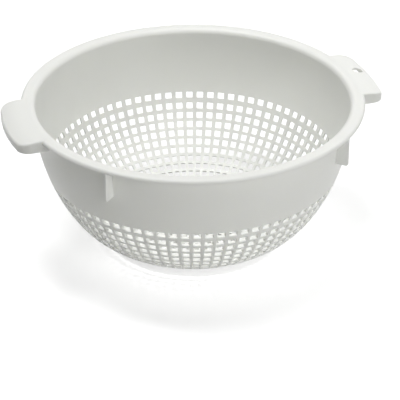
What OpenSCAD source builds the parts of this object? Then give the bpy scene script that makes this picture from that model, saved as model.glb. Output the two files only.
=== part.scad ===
// Plastic colander with a perforated bowl, a flat rim and two tab handles.
// One injection moulding, described here region by region. Every region is a
// solid of its own, and neighbours meet face to face.
// Frame: millimetres, +Z up, origin on the floor under the centre of the bowl,
// handles along X, the handle with the hanging hole on +X.

/* [Bowl] */
// Outer diameter of the bowl wall just under the rim
bowl_d = 260; // [200:1:340]
// Thickness of the wall, the rim and the base
wall = 2.2; // [1.5:0.1:3.5]
// Height of the straight part of the wall, from the top of the rim down
straight_h = 6.5; // [5:0.5:60]
// Radius of the wall's outer curve below the straight part
shoulder_r = 158; // [120:1:240]
// Angle from vertical at which the shoulder curve ends
shoulder_end = 30; // [20:1:36]
// Radius of the wall's outer curve at the belly
belly_r = 101; // [80:1:160]
// Angle from vertical at which the belly curve ends
belly_end = 40; // [37:1:48]
// Radius of the wall's outer curve below the belly
heel_r = 69; // [50:1:100]
// Angle from vertical at which the heel curve ends
heel_end = 62; // [50:1:70]
// Radius of the last curve, which runs into the flat base
corner_r = 45; // [20:1:60]

/* [Rim] */
// Width of the rim, from the outside of the wall to its outer edge
rim_w = 10; // [7:0.5:20]
// Rounding where the inside of the wall turns into the rim
rim_inner_r = 6; // [3:0.5:10]
// Rounding of the rim's outer edge
rim_outer_r = 2.75; // [1:0.25:4]
// Depth of the lip that turns down from the rim's outer edge
lip_h = 3.25; // [2.5:0.25:12]

/* [Perforation] */
// Holes in each row round the wall
columns = 80; // [40:4:120]
// Share of each column's angle that is open
open_share = 0.66; // [0.4:0.02:0.76]
// Rows of holes down the wall
rows = 10; // [4:1:12]
// Distance along the wall from the top of the rim to the middle of the first row
first_row = 61; // [40:1:90]
// Distance between rows low on the wall
row_pitch = 7.8; // [6:0.1:12]
// Extra distance between the first two rows, which fades out downwards
row_spread = 1.9; // [0:0.1:4]
// Width of the rib between two rows
row_rib = 2.4; // [1.6:0.1:4]
// Distance between the rings of holes in the base
ring_pitch = 8; // [6:0.5:12]
// Width of the plain centre of the base
hub_d = 18; // [10:1:40]

/* [Foot] */
// Height of the foot ring under the base
foot_h = 3.5; // [2:0.5:10]
// Thickness of the foot ring
foot_t = 2.4; // [1.6:0.1:4]

/* [Handles] */
// How far a handle stands out past the rim
handle_reach = 16; // [10:0.5:30]
// Width of a handle, along the rim
handle_w = 76; // [60:1:110]
// Rounding of a handle's outer corners
handle_corner_r = 10; // [6:1:20]
// Depth of the skirt round a handle
skirt_h = 10; // [8:0.5:16]
// Rounding of a handle's top edge
handle_edge_r = 1.5; // [1:0.25:4]
// Radius of a handle's top, which curves down towards its outer edge
handle_droop_r = 48; // [40:2:400]
// Diameter of the hanging hole
hang_d = 8.5; // [5:0.5:14]
// Distance from the hanging hole's centre to the handle's outer edge
hang_inset = 9; // [6:0.5:20]
// Angle of the hanging hole from the handles' line, towards the back
hang_angle = 2.75; // [0:0.25:6]

/* [Stacking lugs] */
// Angle of the lugs from the handles' line
lug_angle = 45; // [36:1:54]
// How far all the lugs are turned clockwise, seen from above
lug_turn = 0.9; // [0:0.1:3]
// Thickness of a lug
lug_t = 2; // [1.5:0.1:4]
// Distance from the top of the rim to the bottom of a lug
lug_drop = 28; // [15:1:45]
// Rounding of a lug's outer bottom corner
lug_corner_r = 2; // [1:0.5:5]
// How far a lug's outer edge stays inside the rim's outer edge
lug_inset = 0.5; // [0:0.1:3]

/* [Hidden] */
$fn = 96;

bowl_r = bowl_d / 2;
rim_r = bowl_r + rim_w;
// Radii of the rim's bend and edge, kept within the straight wall and the lip
bend_r = min(rim_inner_r, straight_h - 0.5);
edge_r = min(rim_outer_r, lip_h - 0.25);
// Where the flat of the rim ends, and its lip or a handle begins
seam_r = rim_r - wall - edge_r;

// The outer curve of the wall below its straight top: a chain of tangent arcs,
// each with its radius and the leans from vertical at which it starts and ends
arcs = [
  [shoulder_r, 0, shoulder_end],
  [belly_r, shoulder_end, belly_end],
  [heel_r, belly_end, heel_end],
  [corner_r, heel_end, 90]
];
last_arc = len(arcs) - 1;

// Direction that points straight out of the wall where it leans by angle a
function outwards(a) = [cos(a), -sin(a)];
function arc_start(i) =
  i == 0 ? [bowl_r, -straight_h] : arc_centre(i - 1) + arcs[i - 1][0] * outwards(arcs[i][1]);
function arc_centre(i) = arc_start(i) - arcs[i][0] * outwards(arcs[i][1]);
function arc_length(i) = arcs[i][0] * (arcs[i][2] - arcs[i][1]) * PI / 180;
function length_before(i) = i == 0 ? straight_h : length_before(i - 1) + arc_length(i - 1);

// The point at distance s down the wall from the top of the rim, and at a depth
// into the wall from its outer face
function arc_at(s, i = last_arc) = i == 0 || s >= length_before(i) ? i : arc_at(s, i - 1);
function lean_at(s) = let (i = arc_at(s)) arcs[i][1] + (s - length_before(i)) / arcs[i][0] * 180 / PI;
function wall_point(s, depth = 0) =
  s <= straight_h
    ? [bowl_r - depth, -s]
    : let (i = arc_at(s)) arc_centre(i) + (arcs[i][0] - depth) * outwards(lean_at(s));

// Flat steps in the profile of the plain wall, and in the collar round the base
plain_steps = 14;
collar_steps = 8;

wall_end = length_before(last_arc) + arc_length(last_arc);
flat_r = wall_point(wall_end).x;
bowl_depth = -wall_point(wall_end).y;
rim_z = foot_h + bowl_depth;

// Rows of holes, each at its distance down the wall. A row's band runs from the
// middle of the rib above it to the middle of the rib below it.
function row_gap(k) = row_pitch + row_spread * pow(0.4, k);
function row_place(k) = k == 0 ? first_row : row_place(k - 1) + row_gap(k - 1);
function band_top(k) = k == 0 ? first_row - row_pitch / 2 : row_place(k) - row_gap(k - 1) / 2;
hole_h = row_pitch - row_rib;
column_angle = 360 / columns;

// Rings of holes in the base, between its plain centre and the foot ring
hub_r = hub_d / 2;
base_rings = floor((flat_r - foot_t - hub_r) / ring_pitch);
ring_hole = ring_pitch - row_rib;
least_pitch = 5.5;
// Every ring has the columns of the wall, halved until its holes have room
function ring_columns(r, n = columns) =
  2 * PI * r / n >= least_pitch ? n : ring_columns(r, floor(n / 2));

handle_r = rim_r + handle_reach;
corner_y = handle_w / 2 - handle_corner_r;
corner_x = sqrt(pow(handle_r - handle_corner_r, 2) - pow(corner_y, 2));
corner_turn = atan2(corner_y, corner_x);
// Half the width of a handle's top where the lip stops, just inside its rounded edges
handle_top_y = handle_w / 2 - 1.2 * handle_edge_r;
lug_wedge = lug_t / (bowl_r + rim_w / 2) * 180 / PI;
// Cutters run this far past what they cut
past = 1;

module plastic() {
  color([0.93, 0.94, 0.92]) children();
}

// Turns a profile whose heights are counted from the top of the rim
module turned(angle = 360, start = 0) {
  translate([0, 0, rim_z])
    rotate_extrude(angle = angle, start = start) children();
}

// Profile of the wall through a list of distances down it
module wall_section(places) {
  polygon(concat(
    [for (s = places) wall_point(s)],
    [for (i = [len(places) - 1 : -1 : 0]) wall_point(places[i], wall)]
  ));
}

// Distances from one to another in equal steps
function steps(from, to, count) = [for (i = [0 : count]) from + (to - from) * i / count];
plain_places = steps(straight_h, band_top(0), plain_steps);

// Profile of all that lies inside the outer face of the plain wall
module inside_section() {
  polygon(concat([[0, 0], [bowl_r, 0]], [for (s = plain_places) wall_point(s)],
    [[0, wall_point(band_top(0)).y]]));
}

// Profile of the wall's straight top, bent outwards into the flat of the rim
module flange_section() {
  inner_r = bowl_r - wall;
  translate([inner_r, -straight_h]) square([wall, straight_h - bend_r]);
  intersection() {
    translate([inner_r + bend_r, -bend_r]) difference() {
      circle(r = bend_r);
      circle(r = bend_r - wall);
    }
    translate([inner_r, -bend_r]) square(bend_r);
  }
  translate([inner_r + bend_r, -wall]) square([seam_r - inner_r - bend_r, wall]);
}

// Profile of the rim's rounded outer edge and turned-down lip
module lip_section() {
  translate([seam_r, -wall]) square([wall, wall]);
  translate([rim_r - wall, -lip_h]) square([wall, lip_h - edge_r]);
  translate([rim_r - edge_r, -edge_r]) intersection() {
    circle(r = edge_r);
    square(edge_r);
  }
}

// The rim's outer edge and lip, which stop where a handle's top begins
module lip() {
  difference() {
    turned() lip_section();
    translate([0, 0, rim_z])
      cube([2 * (rim_r + past), 2 * handle_top_y, 2 * (lip_h + past)], center = true);
  }
}

module rim() {
  plastic() {
    turned() flange_section();
    lip();
  }
}

module plain_wall() {
  plastic() turned() wall_section(plain_places);
}

module sieve_wall() {
  plastic() {
    for (k = [0 : rows - 1]) sieve_row(k);
    turned() wall_section(steps(band_top(rows), wall_end, collar_steps));
  }
}

// One row's band of the wall with its holes. The profile is straight across a
// hole and turns in the ribs.
module sieve_row(k) {
  open_angle = column_angle * open_share;
  place = row_place(k);
  straight = (hole_h + row_rib / 2) / 2;
  difference() {
    turned() wall_section([band_top(k), place - straight, place + straight, band_top(k + 1)]);
    for (c = [0 : columns - 1])
      turned(open_angle, (c + 0.5) * column_angle - open_angle / 2)
        translate(wall_point(place, wall / 2))
          rotate(-lean_at(place)) square([3 * wall, hole_h], center = true);
  }
}

module sieve_base() {
  plastic() difference() {
    translate([0, 0, foot_h]) cylinder(r = flat_r, h = wall);
    for (k = [0 : base_rings - 1])
      base_ring(hub_r + k * ring_pitch + row_rib / 2);
  }
}

// The holes of one ring in the base, from its inner radius outwards
module base_ring(r) {
  n = ring_columns(r + ring_hole / 2);
  open_angle = 360 / n * open_share;
  for (c = [0 : n - 1])
    translate([0, 0, foot_h - past])
      rotate_extrude(angle = open_angle, start = (c + 0.5) * 360 / n - open_angle / 2)
        translate([r, 0]) square([ring_hole, wall + 2 * past]);
}

module foot_ring() {
  plastic() difference() {
    cylinder(r = flat_r, h = foot_h);
    translate([0, 0, -past]) cylinder(r = flat_r - foot_t, h = foot_h + 2 * past);
  }
}

// How far the top of a handle has dropped at a distance x from the bowl's axis
function droop(x) = handle_droop_r - sqrt(pow(handle_droop_r, 2) - pow(max(x - seam_r, 0), 2));

// Points a distance inside one half of a handle's outline: side, corner, outer arc
side_start = sqrt(pow(bowl_r, 2) - pow(handle_w / 2, 2)) - wall;
function handle_edge(inset) = concat(
  [for (t = [0 : 0.5 : 1])
    [side_start + t * (corner_x - side_start), handle_w / 2 - inset]],
  [for (t = [0 : 0.25 : 1]) let (a = 90 - t * (90 - corner_turn))
    [corner_x, corner_y] + (handle_corner_r - inset) * [cos(a), sin(a)]],
  [for (t = [0 : 0.25 : 1]) let (a = corner_turn * (1 - t))
    (handle_r - inset) * [cos(a), sin(a)]]
);

// The form of a handle on +X, a distance inside its outer faces, with its edge
// rounded by r, and carried further down by extra
module handle_form(inset, r, extra = 0) {
  hull()
    for (p = handle_edge(inset + r), side = [-1, 1])
      translate([p.x, side * p.y, rim_z - skirt_h - extra])
        domed_peg(r, skirt_h + extra - droop(p.x) - inset);
}

// A round peg of height h with a half ball on top
module domed_peg(r, h) {
  rotate_extrude($fn = 24) {
    square([r, h - r]);
    translate([0, h - r]) intersection() {
      circle(r = r, $fn = 24);
      square(r);
    }
  }
}

module handle() {
  difference() {
    handle_form(0, handle_edge_r);
    handle_form(wall, min(handle_edge_r, 1), past);
    turned() {
      inside_section();
      flange_section();
    }
    translate([0, 0, rim_z - wall]) cylinder(r = seam_r, h = wall + past);
    lip();
  }
}

module left_handle() {
  plastic() rotate(180) handle();
}

module right_handle() {
  plastic() difference() {
    handle();
    rotate(hang_angle) translate([handle_r - hang_inset, 0, rim_z - skirt_h - past])
      cylinder(d = hang_d, h = skirt_h + 2 * past);
  }
}

// Profile of a lug: a plate with a rounded outer bottom corner, before the rim
// and the wall are taken out of it
module lug_section() {
  inner_x = bowl_r - rim_w;
  outer_x = rim_r - lug_inset;
  top = max(wall, edge_r);
  translate([inner_x, -lug_drop]) square([outer_x - lug_corner_r - inner_x, lug_drop - top]);
  translate([inner_x, lug_corner_r - lug_drop])
    square([outer_x - inner_x, lug_drop - lug_corner_r - top]);
  translate([outer_x - lug_corner_r, lug_corner_r - lug_drop]) circle(r = lug_corner_r);
}

module lug(angle) {
  plastic() turned(lug_wedge, angle - lug_wedge / 2) difference() {
    lug_section();
    inside_section();
    flange_section();
    lip_section();
  }
}

rim();
plain_wall();
sieve_wall();
sieve_base();
foot_ring();
left_handle();
right_handle();
lug(-lug_angle - lug_turn);  // lug_front_right
lug(lug_angle - lug_turn);  // lug_back_right
lug(180 - lug_angle - lug_turn);  // lug_back_left
lug(180 + lug_angle - lug_turn);  // lug_front_left
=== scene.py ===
import bmesh
import bpy
import math
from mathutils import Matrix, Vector
from mathutils.geometry import delaunay_2d_cdt

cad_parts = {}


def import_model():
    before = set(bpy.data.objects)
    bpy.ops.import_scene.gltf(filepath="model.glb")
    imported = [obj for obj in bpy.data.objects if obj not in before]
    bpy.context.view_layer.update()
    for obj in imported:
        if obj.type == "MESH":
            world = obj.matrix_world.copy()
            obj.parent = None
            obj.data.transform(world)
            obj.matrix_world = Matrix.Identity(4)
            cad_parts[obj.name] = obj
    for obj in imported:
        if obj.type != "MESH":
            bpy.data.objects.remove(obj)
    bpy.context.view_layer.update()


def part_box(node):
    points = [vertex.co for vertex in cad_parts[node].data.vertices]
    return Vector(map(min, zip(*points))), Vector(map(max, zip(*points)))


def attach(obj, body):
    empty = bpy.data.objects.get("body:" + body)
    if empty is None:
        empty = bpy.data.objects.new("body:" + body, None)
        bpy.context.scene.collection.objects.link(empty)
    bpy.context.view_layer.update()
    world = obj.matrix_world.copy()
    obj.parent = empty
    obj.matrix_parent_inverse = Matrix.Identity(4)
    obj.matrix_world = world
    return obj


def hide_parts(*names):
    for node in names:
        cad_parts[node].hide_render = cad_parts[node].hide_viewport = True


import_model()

MM = 0.001
PI = math.pi

# ---------------------------------------------------------------- sizes, in millimetres and degrees
BOWL_R = 130.0
WALL = 2.2
STRAIGHT = 6.5
# (radius, lean where it starts, lean where it ends) of the wall's arcs, from the rim down
ARCS = [(158.0, 0.0, 30.0), (101.0, 30.0, 40.0), (69.0, 40.0, 62.0), (45.0, 62.0, 90.0)]

RIM_R = 140.0
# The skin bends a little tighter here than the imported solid, by at most 0.6 mm
BEND_R = 4.5
EDGE_R = 2.75
LIP = 3.25
LIP_ROUND = 0.45
RIM_STEPS = 168

COLUMNS = 80
OPEN_SHARE = 0.56
HOLE_DRAFT = 20.0
ROW_DRAFT = 6.0
HOLE_CORNER = 0.3
HOLE_FILLET = 0.3
# Half the width of a cell's middle strip, as a share of the cell
CELL_SHARE = 0.2
ROWS = 10
FIRST_ROW = 61.0
ROW_PITCH = 7.8
# What the first gap between rows has over ROW_PITCH, and the share of it that each next gap keeps
ROW_SPREAD = 1.9
ROW_FADE = 0.4
ROW_RIB = 2.4

RING_PITCH = 8.0
# The base's rings have as many holes as the wall's rows, halved until they are at least this far apart
LEAST_STEP = 5.5
HUB_R = 9.0
CIRCLE_STEPS = 240
FOOT_T = 2.4
FOOT_ROUND = 0.5

REACH = 16.0
HANDLE_W = 76.0
HANDLE_CORNER = 10.0
SKIRT = 10.0
HANDLE_EDGE = 1.5
# Rounding of the skirt's lower edges, and of the corner between the skirt and the plate's underside
SKIRT_ROUND = 0.5
UNDER_ROUND = 1.0
DROOP_R = 48.0
HANG_D = 8.5
HANG_FILLET = 0.5
HANG_STEPS = 32
HANG_INSET = 9.0
HANG_ANGLE = 2.75

LUG_ANGLE = 45.0
# Anticlockwise seen from above
LUG_TURN = -0.9
LUG_T = 2.0
LUG_DROP = 28.0
LUG_INSET = 0.5
LUG_CORNER = 2.0
# How far a lug's skin reaches into the wall
LUG_ROOT = 1.0
LUG_BEVEL = 0.25

SEAM_R = RIM_R - WALL - EDGE_R
HANDLE_R = RIM_R + REACH
TOP_Y = HANDLE_W / 2 - HANDLE_EDGE
CORNER_Y = HANDLE_W / 2 - HANDLE_CORNER
CORNER_X = math.sqrt((HANDLE_R - HANDLE_CORNER) ** 2 - CORNER_Y ** 2)
RIM_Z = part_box("rim")[1].z / MM


# ---------------------------------------------------------------- the wall's curve
def outwards(a):
    """Radius and height of the way out of the wall where it leans by a."""
    return math.cos(math.radians(a)), -math.sin(math.radians(a))


def chain():
    """(length at which it starts, radius, first lean, centre) of each arc, the whole length and the end."""
    made, length = [], STRAIGHT
    at = (BOWL_R, -STRAIGHT)
    for r, a0, a1 in ARCS:
        o = outwards(a0)
        c = (at[0] - r * o[0], at[1] - r * o[1])
        made.append((length, r, a0, c))
        o = outwards(a1)
        at = (c[0] + r * o[0], c[1] + r * o[1])
        length += r * math.radians(a1 - a0)
    return made, length, at


CHAIN, WALL_END, (FLAT_R, FLOOR_Z) = chain()


def arc_at(s):
    """Radius, lean and centre of the wall's arc at distance s down it."""
    start, r, a0, c = next(part for part in reversed(CHAIN) if s >= part[0])
    return r, a0 + math.degrees((s - start) / r), c


def lean(s):
    """The wall's lean at distance s down it."""
    return 0.0 if s <= STRAIGHT else arc_at(s)[1]


def wall(s, depth=0.0):
    """Point of the wall at distance s down it, at a depth below its outer face: radius and height."""
    if s <= STRAIGHT:
        return BOWL_R - depth, -s
    r, a, c = arc_at(s)
    o = outwards(a)
    return c[0] + (r - depth) * o[0], c[1] + (r - depth) * o[1]


def row_gap(k):
    """Distance from row k to the next, along the wall."""
    return ROW_PITCH + ROW_SPREAD * ROW_FADE ** k


def row_place(k):
    """Distance of row k's middle down the wall."""
    return FIRST_ROW if k == 0 else row_place(k - 1) + row_gap(k - 1)


def band_top(k):
    """Distance down the wall of the edge between rows k - 1 and k."""
    return FIRST_ROW - ROW_PITCH / 2 if k == 0 else row_place(k) - row_gap(k - 1) / 2


# ---------------------------------------------------------------- mesh building
class Shape:
    """Collects points, their normals and faces, and merges points that share place and normal."""

    def __init__(self):
        self.keys, self.points, self.normals, self.faces = {}, [], [], []

    def point(self, p, n):
        key = tuple(round(v, 3) for v in p) + tuple(round(v, 1) for v in n)
        if key not in self.keys:
            self.keys[key] = len(self.points)
            self.points.append(p)
            self.normals.append(n)
        return self.keys[key]

    def face(self, ids):
        clean = []
        for i in ids:
            if i not in clean:
                clean.append(i)
        if len(clean) > 2:
            self.faces.append(clean)

    def grid(self, rows, closed=False):
        """Quads between rows of point numbers, each row as long as the next."""
        for a, b in zip(rows, rows[1:]):
            n = len(a)
            for i in range(n if closed else n - 1):
                j = (i + 1) % n
                self.face((a[i], a[j], b[j], b[i]))

    def add(self, other, turned):
        """Takes in another shape, turned half round if asked."""
        way = -1 if turned else 1
        ids = []
        for p, n in zip(other.points, other.normals):
            ids.append(self.point((way * p[0], way * p[1], p[2]), (way * n[0], way * n[1], n[2])))
        for f in other.faces:
            self.face([ids[i] for i in f])

    def build(self, name, material):
        """A smooth object with the collected normals, each face turned to agree with them."""
        mesh = bpy.data.meshes.new(name)
        mesh.from_pydata([Vector(p) * MM for p in self.points], [], self.faces)
        mesh.validate()
        for p in mesh.polygons:
            p.use_smooth = True
        mesh.update()
        wrong = [p.index for p in mesh.polygons if p.normal.dot(self.way_out(p)) < 0]
        if wrong:
            flip(mesh, wrong)
        mesh.normals_split_custom_set_from_vertices([Vector(n).normalized() for n in self.normals])
        obj = bpy.data.objects.new(name, mesh)
        bpy.context.scene.collection.objects.link(obj)
        mesh.materials.append(material)
        return obj

    def way_out(self, polygon):
        total = Vector((0, 0, 0))
        for v in polygon.vertices:
            total += Vector(self.normals[v])
        return total


def flip(mesh, wrong):
    b = bmesh.new()
    b.from_mesh(mesh)
    b.faces.ensure_lookup_table()
    for i in wrong:
        b.faces[i].normal_flip()
    b.to_mesh(mesh)
    b.free()


def around(theta, r, z):
    """Point at an angle and radius, at height z from the rim's top."""
    return r * math.cos(theta), r * math.sin(theta), RIM_Z + z


def revolve(shape, profile, thetas, closed):
    """Turns a profile of (r, z, normal r, normal z) through the angles."""
    rows = []
    for r, z, nr, nz in profile:
        rows.append([shape.point(around(t, r, z), (nr * math.cos(t), nr * math.sin(t), nz)) for t in thetas])
    shape.grid(rows, closed)


def arc(cr, cz, r, a0, a1, steps, sign=1):
    """Profile points on an arc, angle 0 pointing outwards and 90 up. sign -1 turns the normals inwards."""
    made = []
    for i in range(steps + 1):
        a = math.radians(a0 + (a1 - a0) * i / steps)
        made.append((cr + r * math.cos(a), cz + r * math.sin(a), sign * math.cos(a), sign * math.sin(a)))
    return made


def spread(a, b, n):
    return [a + (b - a) * i / n for i in range(n + 1)]


def circle(r, n, centre=(0, 0)):
    turns = [2 * PI * i / n for i in range(n)]
    return [(centre[0] + r * math.cos(a), centre[1] + r * math.sin(a)) for a in turns]


COLUMN = 2 * PI / COLUMNS
HOLE_HALF = COLUMN * OPEN_SHARE / 2
CELL_HALF = CELL_SHARE * COLUMN
# Angles that every turned piece uses, so that neighbours share their points
THETAS = []
for column in range(COLUMNS):
    middle = (column + 0.5) * COLUMN
    THETAS += [middle - COLUMN / 2, middle - CELL_HALF, middle + CELL_HALF]


def skin(places, depth, side):
    """Profile along one face of the wall. side 1 is the outer face and -1 the inner."""
    made = []
    for s in places:
        r, z = wall(s, depth)
        o = outwards(lean(s))
        made.append((r, z, side * o[0], side * o[1]))
    return made


# ---------------------------------------------------------------- material
# Off-white, and the factors on it at the darkest and lightest of the clouding
BASE_COLOUR = (0.862, 0.868, 0.836)
CLOUDING = (0.985, 1.012)


def noise(nt, coord, scale, detail):
    node = nt.nodes.new("ShaderNodeTexNoise")
    node.inputs["Scale"].default_value = scale
    node.inputs["Detail"].default_value = detail
    nt.links.new(coord.outputs["Object"], node.inputs["Vector"])
    return node


def bump(nt, height, strength, distance):
    node = nt.nodes.new("ShaderNodeBump")
    node.inputs["Strength"].default_value = strength
    node.inputs["Distance"].default_value = distance
    nt.links.new(height.outputs["Fac"], node.inputs["Height"])
    return node


def plastic(name):
    """Off-white polypropylene: a satin skin with faint flow clouding and a very fine texture."""
    mat = bpy.data.materials.new(name)
    mat.use_nodes = True
    nt = mat.node_tree
    bsdf = next(n for n in nt.nodes if n.type == "BSDF_PRINCIPLED")
    coord = nt.nodes.new("ShaderNodeTexCoord")

    cloud = noise(nt, coord, 9.0, 3.0)
    cloud.inputs["Roughness"].default_value = 0.55
    shade = nt.nodes.new("ShaderNodeValToRGB")
    for element, place, factor in zip(shade.color_ramp.elements, (0.3, 0.72), CLOUDING):
        element.position = place
        element.color = (*(c * factor for c in BASE_COLOUR), 1)
    nt.links.new(cloud.outputs["Fac"], shade.inputs["Fac"])
    nt.links.new(shade.outputs["Color"], bsdf.inputs["Base Color"])

    grain = noise(nt, coord, 240.0, 2.0)
    rough = nt.nodes.new("ShaderNodeMapRange")
    rough.inputs["To Min"].default_value = 0.36
    rough.inputs["To Max"].default_value = 0.48
    nt.links.new(grain.outputs["Fac"], rough.inputs["Value"])
    nt.links.new(rough.outputs["Result"], bsdf.inputs["Roughness"])

    fine = bump(nt, noise(nt, coord, 900.0, 2.0), 0.05, 0.0002)
    wave = bump(nt, noise(nt, coord, 28.0, 1.0), 0.06, 0.001)
    nt.links.new(fine.outputs["Normal"], wave.inputs["Normal"])
    nt.links.new(wave.outputs["Normal"], bsdf.inputs["Normal"])

    bsdf.inputs["Subsurface Weight"].default_value = 0.65
    bsdf.inputs["Subsurface Radius"].default_value = (1.0, 1.0, 0.95)
    bsdf.inputs["Subsurface Scale"].default_value = 0.002
    bsdf.inputs["IOR"].default_value = 1.49
    bsdf.inputs["Specular IOR Level"].default_value = 0.45
    return mat


PLASTIC = plastic("plastic")


def piece(obj, *nodes):
    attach(obj, "root")
    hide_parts(*nodes)


# ---------------------------------------------------------------- rim
def rim(shape):
    inner = BOWL_R - WALL
    bend = inner + BEND_R
    # Inside of the wall's straight top, the bend and the flat as far as the seam
    top = [(inner, -STRAIGHT, -1, 0)] + arc(bend, -BEND_R, BEND_R, 180, 90, 10) + [(SEAM_R, 0, 0, 1)]
    revolve(shape, top, THETAS, True)
    # Underside of the flat, the inside of the bend and the outer face of the straight top
    under = [(SEAM_R, -WALL, 0, -1)] + arc(bend, -BEND_R, BEND_R - WALL, 90, 180, 8, -1)
    under += [(BOWL_R, -STRAIGHT, 1, 0)]
    revolve(shape, under, THETAS, True)
    # Rounded edge, lip and the way back under it, except where the handles are
    edge = [(SEAM_R, 0, 0, 1)] + arc(RIM_R - EDGE_R, -EDGE_R, EDGE_R, 90, 0, 8)
    edge += arc(RIM_R - LIP_ROUND, -LIP + LIP_ROUND, LIP_ROUND, 0, -90, 3)
    edge += arc(RIM_R - WALL + LIP_ROUND, -LIP + LIP_ROUND, LIP_ROUND, -90, -180, 3)
    edge += [(RIM_R - WALL, -WALL, -1, 0), (RIM_R - WALL, -WALL, 0, -1), (SEAM_R, -WALL, 0, -1)]
    # It starts 0.05 mm in from the sides of the handles' plates
    half = PI / 2 - math.asin((TOP_Y - 0.05) / (RIM_R - EDGE_R))
    for back_or_front in (PI / 2, 3 * PI / 2):
        turns = [back_or_front - half + 2 * half * i / RIM_STEPS for i in range(RIM_STEPS + 1)]
        revolve(shape, edge, turns, False)


# ---------------------------------------------------------------- holes
def cell_ring(w, h, corner, out):
    """Twelve points round a hole, out past its edge, each with its direction, as (sideways, down)."""
    made = []
    for sx, sy, first in ((1, 1, 0), (-1, 1, 90), (-1, -1, 180), (1, -1, 270)):
        for i in range(3):
            a = math.radians(first + 45 * i)
            dx, dy = math.cos(a), math.sin(a)
            x = sx * (w - corner) + (corner + out) * dx
            y = sy * (h - corner) + (corner + out) * dy
            made.append((x, y, dx, dy))
    return made


def cell_frame(half, strip, *levels):
    """Twelve points of a cell's edge, each beside one of the ring round its hole, as (sideways, along).

    half and strip are half the widths of the cell and of its middle strip. Each of the two levels gives
    where the hole's corner starts and where the cell ends.
    """
    made = []
    for way, (corner, end) in zip((1, -1), levels):
        side = [(way * half, corner), (way * half, end), (way * strip, end)]
        made += side + [(-x, y) for x, y in reversed(side)]
    return made


def hole_layers(fillet):
    """(way out from the hole's edge, depth, share of the surface normal, side) from outside to inside."""
    turns = (0, PI / 4, PI / 2)
    outer = [(fillet * (1 - math.sin(a)), fillet * (1 - math.cos(a)), math.cos(a), 1) for a in turns]
    inner = [(out, WALL - depth, share, -1) for out, depth, share, side in reversed(outer)]
    return outer + inner


LAYERS = hole_layers(HOLE_FILLET)


def inward_share(share):
    """What is left for the way into the hole of a normal with this share of the surface's."""
    return math.sqrt(max(0.0, 1 - share * share))


def hole_normal(surface, share, into_hole):
    return tuple((surface * share + into_hole * inward_share(share)).normalized())


# ---------------------------------------------------------------- bowl wall
def plain_wall(shape):
    places = spread(STRAIGHT, band_top(0), 16)
    revolve(shape, skin(places, 0, 1), THETAS, True)
    revolve(shape, skin(places, WALL, -1), THETAS, True)


def surface_point(s, theta, depth):
    r, z = wall(s, depth)
    return around(theta, r, z)


def wall_hole(shape, place, half_h, theta):
    """Loops of points through one hole of the wall, which tapers inwards."""
    inner_w = wall(place, WALL)[0] * math.sin(HOLE_HALF)
    draft = math.tan(math.radians(HOLE_DRAFT))
    row_draft = math.tan(math.radians(ROW_DRAFT))
    loops = []
    for out, depth, share, side in LAYERS:
        half_w = inner_w + (WALL - depth) * draft
        loop = []
        for w, d, dx, dy in cell_ring(half_w, half_h - depth * row_draft, HOLE_CORNER, out):
            t, s = theta + w / wall(place, depth)[0], place + d
            a = math.radians(lean(s))
            c, n = math.cos(t), math.sin(t)
            surface = Vector((math.cos(a) * c, math.cos(a) * n, -math.sin(a))) * side
            down = Vector((-math.sin(a) * c, -math.sin(a) * n, -math.cos(a)))
            across = Vector((-n, c, 0))
            normal = hole_normal(surface, share, -(across * dx + down * dy))
            loop.append(shape.point(surface_point(s, t, depth), normal))
        loops.append(loop)
    return loops


def sieve_cell(shape, k, theta):
    """One hole of row k with the wall round it, halfway to its neighbours."""
    place = row_place(k)
    half_h = (ROW_PITCH - ROW_RIB) / 2
    loops = wall_hole(shape, place, half_h, theta)
    shape.grid(loops, True)
    below = (place + half_h - HOLE_CORNER, band_top(k + 1))
    above = (place - half_h + HOLE_CORNER, band_top(k))
    for depth, side, loop in ((0, 1, loops[0]), (WALL, -1, loops[-1])):
        edge = []
        for w, s in cell_frame(COLUMN / 2, CELL_HALF, below, above):
            t = theta + w
            o = outwards(lean(s))
            normal = (side * o[0] * math.cos(t), side * o[0] * math.sin(t), side * o[1])
            edge.append(shape.point(surface_point(s, t, depth), normal))
        shape.grid([edge, loop], True)


def sieve_wall(shape):
    for k in range(ROWS):
        for c in range(COLUMNS):
            sieve_cell(shape, k, (c + 0.5) * COLUMN)
    collar = spread(band_top(ROWS), WALL_END, 10)
    revolve(shape, skin(collar, 0, 1), THETAS, True)
    revolve(shape, skin(collar, WALL, -1), THETAS, True)


# ---------------------------------------------------------------- base and foot
def ring_columns(r):
    """Number of holes in the base's ring of radius r."""
    n = COLUMNS
    while 2 * PI * r / n < LEAST_STEP:
        n //= 2
    return n


def flat(shape, points, up):
    """Points on the base's upper or lower face."""
    z = FLOOR_Z + WALL if up else FLOOR_Z
    return [shape.point((x, y, RIM_Z + z), (0, 0, 1 if up else -1)) for x, y in points]


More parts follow.
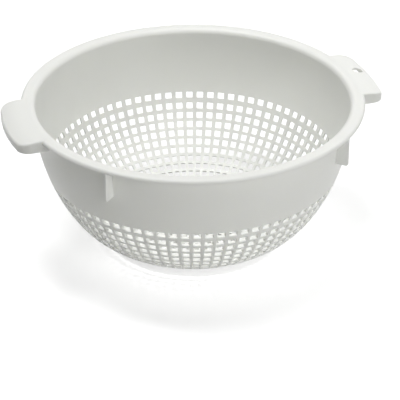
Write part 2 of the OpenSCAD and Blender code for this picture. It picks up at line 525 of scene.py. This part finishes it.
def base_cell(shape, r_in, step, theta):
    """One hole of the base with the plate round it, from radius r_in out to the next ring."""
    r_mid = r_in + RING_PITCH / 2
    half_w = step * OPEN_SHARE / 2 * r_mid
    half_h = (RING_PITCH - ROW_RIB) / 2
    loops = []
    for out, depth, share, side in LAYERS:
        loop = []
        for w, d, dx, dy in cell_ring(half_w, half_h, HOLE_CORNER, out):
            t, r = theta + w / r_mid, r_mid - d
            across = Vector((-math.sin(t), math.cos(t), 0))
            inward = Vector((-math.cos(t), -math.sin(t), 0))
            normal = hole_normal(Vector((0, 0, -side)), share, -(across * dx + inward * dy))
            at = (r * math.cos(t), r * math.sin(t), RIM_Z + FLOOR_Z + depth)
            loop.append(shape.point(at, normal))
        loops.append(loop)
    shape.grid(loops, True)
    inner = (r_mid - half_h + HOLE_CORNER, r_in)
    outer = (r_mid + half_h - HOLE_CORNER, r_in + RING_PITCH)
    frame_points = cell_frame(step / 2, CELL_SHARE * step, inner, outer)
    for up, loop in ((False, loops[0]), (True, loops[-1])):
        edge = flat(shape, [(r * math.cos(theta + w), r * math.sin(theta + w)) for w, r in frame_points], up)
        shape.grid([edge, loop], True)


def base(shape):
    rings = int((FLAT_R - FOOT_T - HUB_R) // RING_PITCH)
    for up in (False, True):
        # Plain centre
        centre = flat(shape, [(0, 0)], up)[0]
        edge = flat(shape, circle(HUB_R, CIRCLE_STEPS), up)
        for i in range(CIRCLE_STEPS):
            shape.face((centre, edge[i], edge[(i + 1) % CIRCLE_STEPS]))
        # Plain edge outside the last ring
        last = circle(HUB_R + rings * RING_PITCH, CIRCLE_STEPS)
        shape.grid([flat(shape, last, up), flat(shape, circle(FLAT_R, CIRCLE_STEPS), up)], True)
    for k in range(rings):
        r_in = HUB_R + k * RING_PITCH
        n = ring_columns(r_in + RING_PITCH / 2)
        step = 2 * PI / n
        for c in range(n):
            base_cell(shape, r_in, step, (c + 0.5) * step)


def foot(shape):
    z = -RIM_Z + FOOT_ROUND
    profile = [(FLAT_R, FLOOR_Z, 1, 0)]
    profile += arc(FLAT_R - FOOT_ROUND, z, FOOT_ROUND, 0, -90, 3)
    profile += arc(FLAT_R - FOOT_T + FOOT_ROUND, z, FOOT_ROUND, -90, -180, 3)
    profile += [(FLAT_R - FOOT_T, FLOOR_Z, -1, 0)]
    revolve(shape, profile, THETAS, True)


# ---------------------------------------------------------------- handles
# The plate's inner points: their pitch along and across it, and how far they stay from the seam, the
# plate's end, its sides, its corners and the hole's edge
PLATE_PITCH = (2.3, 3.0)
FROM_SEAM, FROM_END, FROM_SIDE, FROM_CORNER, FROM_HOLE = 1.2, 1.5, 1.2, 1.0, 1.5


def droop(x):
    """How far a handle's plate has curved down at x, and its slope there."""
    d = max(x - SEAM_R, 0)
    return DROOP_R - math.sqrt(DROOP_R * DROOP_R - d * d), d / DROOP_R


def skirt_start(z):
    """Radius at which a handle's side begins, inside the rim's bend and the wall."""
    if z > -BEND_R:
        r = BEND_R - WALL / 2
        d = max(min(BEND_R + z, r), 0.0)
        return BOWL_R - WALL + BEND_R - math.sqrt(r * r - d * d)
    return wall(-z, WALL / 2)[0]


def handle_outline(inset, z):
    """Points of a handle's edge moved inwards by inset, each with its way out, from back to front."""
    half_w = HANDLE_W / 2 - inset
    start = math.sqrt(skirt_start(z) ** 2 - half_w ** 2)
    turn = math.atan2(CORNER_Y, CORNER_X)
    half = [(start + (CORNER_X - start) * i / 16, half_w, 0, 1) for i in range(16)]
    for i in range(12):
        a = PI / 2 - (PI / 2 - turn) * i / 12
        r = HANDLE_CORNER - inset
        half.append((CORNER_X + r * math.cos(a), CORNER_Y + r * math.sin(a), math.cos(a), math.sin(a)))
    for i in range(14):
        a = turn * (1 - i / 14)
        r = HANDLE_R - inset
        half.append((r * math.cos(a), r * math.sin(a), math.cos(a), math.sin(a)))
    tip = [(HANDLE_R - inset, 0, 1, 0)]
    return half + tip + [(x, -y, nx, -ny) for x, y, nx, ny in reversed(half)]


def hole_centre():
    a = math.radians(HANG_ANGLE)
    return (HANDLE_R - HANG_INSET) * math.cos(a), (HANDLE_R - HANG_INSET) * math.sin(a)


def from_hole(x, y):
    """Distance from the hanging hole's edge."""
    hx, hy = hole_centre()
    return math.hypot(x - hx, y - hy) - HANG_D / 2


def well_inside(x, y, inset):
    """Whether a point lies in the plate, clear of its edges."""
    if not SEAM_R + FROM_SEAM <= math.hypot(x, y) <= HANDLE_R - inset - FROM_END:
        return False
    if abs(y) > HANDLE_W / 2 - inset - FROM_SIDE:
        return False
    if x > CORNER_X and abs(y) > CORNER_Y:
        return math.hypot(x - CORNER_X, abs(y) - CORNER_Y) <= HANDLE_CORNER - inset - FROM_CORNER
    return True


def plate_points(inset, hole):
    """Points spread over the plate, so that it follows its droop."""
    made = []
    for i in range(1, 9):
        for j in range(-12, 13):
            x, y = SEAM_R + i * PLATE_PITCH[0], j * PLATE_PITCH[1]
            if well_inside(x, y, inset) and not (hole and from_hole(x, y) < FROM_HOLE):
                made.append(Vector((x, y)))
    return made


def loop_edges(first, n):
    return [(first + i, first + (i + 1) % n) for i in range(n)]


def inside(poly, x, y):
    hit = False
    for (x0, y0), (x1, y1) in zip(poly, poly[1:] + poly[:1]):
        if (y0 > y) != (y1 > y) and x < x0 + (y - y0) / (y1 - y0) * (x1 - x0):
            hit = not hit
    return hit


def plate(shape, side, inset, drop, hole):
    """The flat of a handle's top (side 1), or of its underside (side -1) at a drop below it."""
    outline = [(x, y) for x, y, nx, ny in handle_outline(inset, 0) if math.hypot(x, y) > SEAM_R + 0.3]
    end = math.asin(outline[0][1] / SEAM_R)
    turns = sorted((t + PI) % (2 * PI) - PI for t in THETAS)
    seam = [-end] + [t for t in turns if abs(t) < end] + [end]
    loop = outline + [(SEAM_R * math.cos(t), SEAM_R * math.sin(t)) for t in seam]
    points = [Vector(p) for p in loop]
    poly = [(p.x, p.y) for p in points]
    edges = loop_edges(0, len(loop))
    if hole:
        edges += loop_edges(len(points), HANG_STEPS)
        points += [Vector(p) for p in circle(HANG_D / 2 + HANG_FILLET, HANG_STEPS, hole_centre())]
    points += plate_points(inset, hole)
    verts, _, faces, _, _, _ = delaunay_2d_cdt(points, edges, [], 1, 1e-4)
    ids = []
    for v in verts:
        low, slope = droop(v.x)
        n = Vector((slope, 0, 1)).normalized() * side
        ids.append(shape.point((v.x, v.y, RIM_Z - low - drop), tuple(n)))
    for f in faces:
        cx = sum(verts[i].x for i in f) / len(f)
        cy = sum(verts[i].y for i in f) / len(f)
        in_hole = hole and from_hole(cx, cy) < HANG_FILLET - 0.05
        if inside(poly, cx, cy) and not in_hole:
            shape.face([ids[i] for i in f])


def quarter(steps):
    """Sine and cosine at even steps through a quarter turn."""
    turns = [PI / 2 * i / steps for i in range(steps + 1)]
    return [(math.sin(a), math.cos(a)) for a in turns]


def handle_profile():
    """(inset, height, way out, way up, whether it follows the droop) round a handle's edge.

    It goes from the plate's top over the rounded edge, down the side, under it and up to the underside.
    """
    r, bottom = SKIRT_ROUND, -SKIRT
    made = []
    for s, c in quarter(8):
        made.append((HANDLE_EDGE * (1 - s), -HANDLE_EDGE * (1 - c), s, c, True))
    for s, c in quarter(3):
        made.append((r * (1 - c), bottom + r * (1 - s), c, -s, False))
    for s, c in quarter(3):
        made.append((WALL - r * (1 - s), bottom + r * (1 - c), -s, -c, False))
    for s, c in quarter(3):
        made.append((WALL + UNDER_ROUND * (1 - c), -WALL - UNDER_ROUND * (1 - s), -c, -s, True))
    return made


def hanging_hole(shape):
    hx, hy = hole_centre()
    loops = []
    for out, depth, share, side in hole_layers(HANG_FILLET):
        k, r = inward_share(share), HANG_D / 2 + out
        loop = []
        for i in range(HANG_STEPS):
            a = 2 * PI * i / HANG_STEPS
            x, y = hx + r * math.cos(a), hy + r * math.sin(a)
            low, slope = droop(x)
            n = Vector((slope * share * side - k * math.cos(a), -k * math.sin(a), share * side)).normalized()
            loop.append(shape.point((x, y, RIM_Z - low - depth), tuple(n)))
        loops.append(loop)
    shape.grid(loops, True)


def handle(name, node, turned, hole):
    """A tab handle on +X, or turned half round to -X: its plate above and below, and the skirt round it."""
    shape = Shape()
    plate(shape, 1, HANDLE_EDGE, 0, hole)
    plate(shape, -1, WALL + UNDER_ROUND, WALL, hole)
    rows = []
    for inset, z, n_out, n_up, on_top in handle_profile():
        row = []
        for x, y, nx, ny in handle_outline(inset, z):
            low, slope = droop(x) if on_top else (0, 0)
            n = Vector((nx * n_out + slope * n_up, ny * n_out, n_up)).normalized()
            row.append(shape.point((x, y, RIM_Z + z - low), tuple(n)))
        rows.append(row)
    shape.grid(rows)
    if hole:
        hanging_hole(shape)
    whole = Shape()
    whole.add(shape, turned)
    piece(whole.build(name, PLASTIC), node)


# ---------------------------------------------------------------- lugs
def lug_outline():
    """(radius, height) round a lug's side: down just inside the wall, out along the bottom and up again."""
    outline = []
    for s in spread(STRAIGHT - 4, 34, 14):
        r, z = wall(max(s, STRAIGHT))
        outline.append((r - LUG_ROOT, -s if s < STRAIGHT else z))
    outline = [(r, z) for r, z in outline if z > -LUG_DROP]
    outline.append((outline[-1][0] - 0.15, -LUG_DROP))
    outer = RIM_R - LUG_INSET
    for i in range(5):
        a = -PI / 2 + PI / 2 * i / 4
        r = outer - LUG_CORNER + LUG_CORNER * math.cos(a)
        outline.append((r, -LUG_DROP + LUG_CORNER + LUG_CORNER * math.sin(a)))
    return outline + [(outer, -2.9), (outer - 1.5, -2.4)]


def lug(name, node, degrees):
    """A thin plate that stands out from the wall under the rim, with softened edges."""
    turn = math.radians(degrees + LUG_TURN)
    b = bmesh.new()
    sides = []
    for w in (-LUG_T / 2, LUG_T / 2):
        loop = []
        for r, z in lug_outline():
            x = r * math.cos(turn) - w * math.sin(turn)
            y = r * math.sin(turn) + w * math.cos(turn)
            loop.append(b.verts.new(Vector((x, y, RIM_Z + z)) * MM))
        sides.append(loop)
    b.faces.new(sides[0])
    b.faces.new(list(reversed(sides[1])))
    for i, j in loop_edges(0, len(sides[0])):
        b.faces.new((sides[0][i], sides[1][i], sides[1][j], sides[0][j]))
    bmesh.ops.recalc_face_normals(b, faces=b.faces)
    mesh = bpy.data.meshes.new(name)
    b.to_mesh(mesh)
    b.free()
    obj = bpy.data.objects.new(name, mesh)
    bpy.context.scene.collection.objects.link(obj)
    bevel = obj.modifiers.new("soft_edges", "BEVEL")
    bevel.width = LUG_BEVEL * MM
    bevel.segments = 2
    bevel.limit_method = "ANGLE"
    bevel.angle_limit = math.radians(40)
    bevel.harden_normals = True
    for p in mesh.polygons:
        p.use_smooth = True
    mesh.materials.append(PLASTIC)
    piece(obj, node)


# The bowl and its rim are one closed skin, so light spreads in the plastic without seams
body = Shape()
rim(body)
plain_wall(body)
sieve_wall(body)
base(body)
foot(body)
piece(body.build("colander_bowl", PLASTIC), "rim", "plain_wall", "sieve_wall", "sieve_base", "foot_ring")
handle("handle_left", "left_handle", True, False)
handle("handle_right", "right_handle", False, True)
lug("stacking_lug_front_right", "lug_front_right", -LUG_ANGLE)
lug("stacking_lug_back_right", "lug_back_right", LUG_ANGLE)
lug("stacking_lug_back_left", "lug_back_left", 180 - LUG_ANGLE)
lug("stacking_lug_front_left", "lug_front_left", 180 + LUG_ANGLE)


# ---------------------------------------------------------------- floor and background, in metres
scene = bpy.context.scene
FLOOR_HALF = 6.0
FLOOR_DROP = 0.0002
FLOOR_WHITE = (0.82, 0.82, 0.82, 1)
# The floor's glow in the picture and in reflections: metres from the bowl's axis at which it starts and
# stops rising, and its strength there, so that the far floor is as white as the near one
FLOOR_GLOW = (0.45, 1.0, 0.6, 1.0)


def shows_background(nt):
    """A socket that is 1 for a ray that shows the background: to the camera, reflected or let through."""
    path = nt.nodes.new("ShaderNodeLightPath")
    total = path.outputs["Is Camera Ray"]
    for ray in ("Is Glossy Ray", "Is Transmission Ray"):
        both = nt.nodes.new("ShaderNodeMath")
        both.operation = "MAXIMUM"
        nt.links.new(total, both.inputs[0])
        nt.links.new(path.outputs[ray], both.inputs[1])
        total = both.outputs[0]
    return total


def floor_material():
    """Pale and matt, so that it keeps the shadow, with a glow that only shows in the background."""
    mat = bpy.data.materials.new("floor_white")
    mat.use_nodes = True
    nt = mat.node_tree
    nt.nodes.clear()
    out = nt.nodes.new("ShaderNodeOutputMaterial")
    diffuse = nt.nodes.new("ShaderNodeBsdfDiffuse")
    diffuse.inputs["Color"].default_value = FLOOR_WHITE
    glow = nt.nodes.new("ShaderNodeEmission")
    glow.inputs["Color"].default_value = (1, 1, 1, 1)
    place = nt.nodes.new("ShaderNodeNewGeometry")
    distance = nt.nodes.new("ShaderNodeVectorMath")
    distance.operation = "LENGTH"
    fade = nt.nodes.new("ShaderNodeMapRange")
    for key, value in zip(("From Min", "From Max", "To Min", "To Max"), FLOOR_GLOW):
        fade.inputs[key].default_value = value
    seen = nt.nodes.new("ShaderNodeMath")
    seen.operation = "MULTIPLY"
    both = nt.nodes.new("ShaderNodeAddShader")
    nt.links.new(place.outputs["Position"], distance.inputs[0])
    nt.links.new(distance.outputs["Value"], fade.inputs["Value"])
    nt.links.new(fade.outputs["Result"], seen.inputs[1])
    nt.links.new(shows_background(nt), seen.inputs[0])
    nt.links.new(seen.outputs[0], glow.inputs["Strength"])
    nt.links.new(diffuse.outputs[0], both.inputs[0])
    nt.links.new(glow.outputs[0], both.inputs[1])
    nt.links.new(both.outputs[0], out.inputs["Surface"])
    return mat


def floor():
    mesh = bpy.data.meshes.new("floor")
    r = FLOOR_HALF
    mesh.from_pydata([(-r, -r, 0), (r, -r, 0), (r, r, 0), (-r, r, 0)], [], [(0, 1, 2, 3)])
    mesh.materials.append(floor_material())
    obj = bpy.data.objects.new("floor", mesh)
    obj.location.z = -FLOOR_DROP
    scene.collection.objects.link(obj)


def world():
    """White where it shows as background, and no light of its own."""
    w = bpy.data.worlds.new("studio")
    scene.world = w
    w.use_nodes = True
    nt = w.node_tree
    back = next(n for n in nt.nodes if n.type == "BACKGROUND")
    back.inputs["Color"].default_value = (1, 1, 1, 1)
    nt.links.new(shows_background(nt), back.inputs["Strength"])


floor()
world()

# ---------------------------------------------------------------- lights and camera, in metres
VIEW_TURN = math.radians(-17.24)
RIGHT = Vector((math.cos(VIEW_TURN), math.sin(VIEW_TURN), 0))
AWAY = Vector((-math.sin(VIEW_TURN), math.cos(VIEW_TURN), 0))
# The point that the lights face
CENTRE = Vector((0, 0, 0.08))
# (sideways, depth, height), size and watts, from the bowl's axis as the camera sees it
LIGHTS = {
    "top_light": ((0.0, 0.1, 1.6), 0.5, 8.4),
    "key_light": ((-0.45, 0.2, 1.3), 0.3, 5.75),
    "top_left_light": ((-0.9, 0.0, 1.4), 1.0, 0.9),
    "top_back_light": ((0.0, 1.2, 1.3), 1.2, 1.0),
    "handle_light": ((0.33, 0.1, 0.4), 0.2, 0.33),
    "front_light": ((0.5, -1.2, 0.8), 0.4, 3.9),
    "low_right_light": ((1.1, -1.1, 0.25), 0.7, 3.8),
}
ELEVATION = math.radians(29.11)
DISTANCE = 1.5009
# The point that the camera would face, below the rim's top
TARGET_DROP = 0.0579
# The lens, and how far the camera is turned off the line to that point, to its right and down, all in
# millimetres on a sensor 36 mm wide
SENSOR = 36.0
LENS = 162.85
TURN_RIGHT = 0.6165
TURN_DOWN = 3.7467


def placed(sideways, depth, height):
    """A point given by the camera's right, its direction away and the height."""
    return RIGHT * sideways + AWAY * depth + Vector((0, 0, height))


def face(obj, direction):
    obj.rotation_mode = "QUATERNION"
    obj.rotation_quaternion = direction.to_track_quat("-Z", "Y")


def area(name, place, size, power):
    data = bpy.data.lights.new(name, "AREA")
    data.shape = "RECTANGLE"
    data.size = data.size_y = size
    data.energy = power
    obj = bpy.data.objects.new(name, data)
    obj.location = place
    face(obj, CENTRE - place)
    scene.collection.objects.link(obj)


def add_camera():
    target = Vector((0, 0, RIM_Z * MM - TARGET_DROP))
    height = Vector((0, 0, DISTANCE * math.sin(ELEVATION)))
    spot = target - AWAY * DISTANCE * math.cos(ELEVATION) + height
    ahead = (target - spot).normalized()
    side = ahead.cross(Vector((0, 0, 1))).normalized()
    up = side.cross(ahead)
    data = bpy.data.cameras.new("camera")
    data.sensor_width = SENSOR
    data.lens = LENS
    data.clip_start, data.clip_end = 0.05, 30
    obj = bpy.data.objects.new("camera", data)
    obj.location = spot
    face(obj, ahead * LENS + side * TURN_RIGHT - up * TURN_DOWN)
    scene.collection.objects.link(obj)
    return obj


for light, (place, size, power) in LIGHTS.items():
    area(light, placed(*place), size, power)
scene.camera = add_camera()
scene.view_settings.view_transform = "Standard"

bpy.context.view_layer.update()
